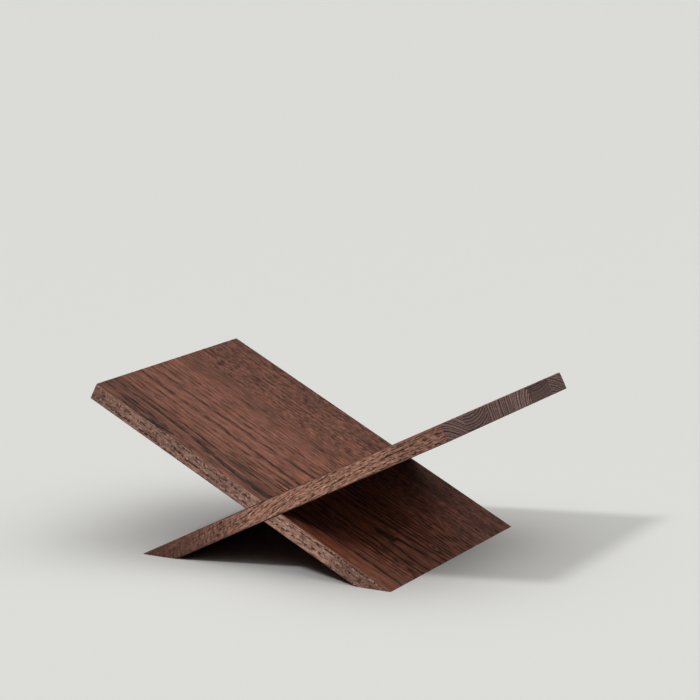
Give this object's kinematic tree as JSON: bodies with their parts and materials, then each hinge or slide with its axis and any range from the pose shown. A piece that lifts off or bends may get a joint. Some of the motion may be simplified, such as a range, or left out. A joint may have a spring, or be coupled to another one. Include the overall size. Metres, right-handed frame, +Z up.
{
  "type": "book stand",
  "caption": "Slot-together book stand: flat wooden leaves cross near the floor, stand on their sawn feet and hold an open book in the V between their upper arms.",
  "frame": {"origin": "on the floor, under the middle of the crossing and midway between the front and back edges", "axes": "+X to the right along the stand's length, +Y to the back along the line of the crossing, +Z up"},
  "size_m": [0.4414, 0.3, 0.1869],
  "materials": {
    "smoked_oak_right_leaf": "smoked and oiled oak, satin, open pores",
    "smoked_oak_left_leaf": "smoked and oiled oak, satin, open pores"
  },
  "bodies": {
    "right_leaf": {"right_leaf_stave_1": "smoked_oak_right_leaf", "right_leaf_stave_2": "smoked_oak_right_leaf", "right_leaf_stave_3": "smoked_oak_right_leaf", "right_leaf_stave_4_upper": "smoked_oak_right_leaf", "right_leaf_stave_4_lower": "smoked_oak_right_leaf", "right_leaf_stave_5_upper": "smoked_oak_right_leaf", "right_leaf_stave_5_lower": "smoked_oak_right_leaf", "right_leaf_stave_6_upper": "smoked_oak_right_leaf", "right_leaf_stave_6_lower": "smoked_oak_right_leaf"},
    "left_leaf": {"left_leaf_stave_1": "smoked_oak_left_leaf", "left_leaf_stave_2": "smoked_oak_left_leaf", "left_leaf_stave_3": "smoked_oak_left_leaf", "left_leaf_stave_4": "smoked_oak_left_leaf", "left_leaf_stave_5_upper": "smoked_oak_left_leaf", "left_leaf_stave_5_lower": "smoked_oak_left_leaf"}
  },
  "joints": [
    {"name": "slot_slide", "type": "slide", "parent": "right_leaf", "child": "left_leaf", "axis": [0, 1, 0], "range_m": [0, 0.15]}
  ]
}
